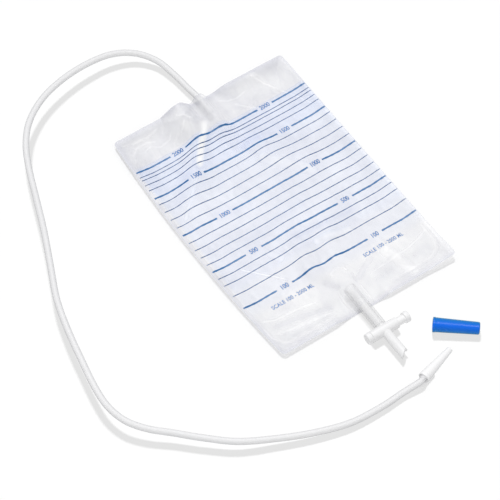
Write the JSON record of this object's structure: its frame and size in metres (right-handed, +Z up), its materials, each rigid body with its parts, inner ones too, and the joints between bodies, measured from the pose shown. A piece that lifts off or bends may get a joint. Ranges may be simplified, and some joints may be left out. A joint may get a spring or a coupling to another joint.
{
  "type": "urine drainage bag",
  "caption": "Clear film drainage bag with a graduated face, a long inlet tube with connector, a loose cap and a push-pull drain tap.",
  "frame": {"origin": "middle of the underside of the back film, on the surface the bag lies on", "axes": "+Z up out of the printed face, +Y towards the inlet end, +X to the right of someone who reads the print with the inlet at the top"},
  "size_m": [0.371, 0.4895, 0.0234],
  "materials": {
    "film": "soft clear film",
    "leaf_film": "soft clear film",
    "clear_tube": "clear soft tube",
    "tap_plastic": "natural translucent plastic",
    "seal": "natural silicone rubber",
    "connector_plastic": "translucent white plastic",
    "cap_blue": "glossy blue plastic"
  },
  "bodies": {
    "bag": {"back_film": "film", "front_film": "film", "nonreturn_leaf_lower": "leaf_film", "nonreturn_leaf_upper": "leaf_film", "inlet_sleeve": "clear_tube", "inlet_tube": "clear_tube", "catheter_connector": "connector_plastic", "connector_cap": "cap_blue", "outlet_tube": "clear_tube", "tap_body": "tap_plastic"},
    "plunger": {"tap_plunger": "tap_plastic", "plunger_seal_1": "seal", "plunger_seal_2": "seal", "plunger_seal_3": "seal"}
  },
  "joints": [
    {"name": "tap_slide", "type": "slide", "parent": "bag", "child": "plunger", "axis": [1, 0, 0], "range_m": [-0.008, 0]}
  ]
}
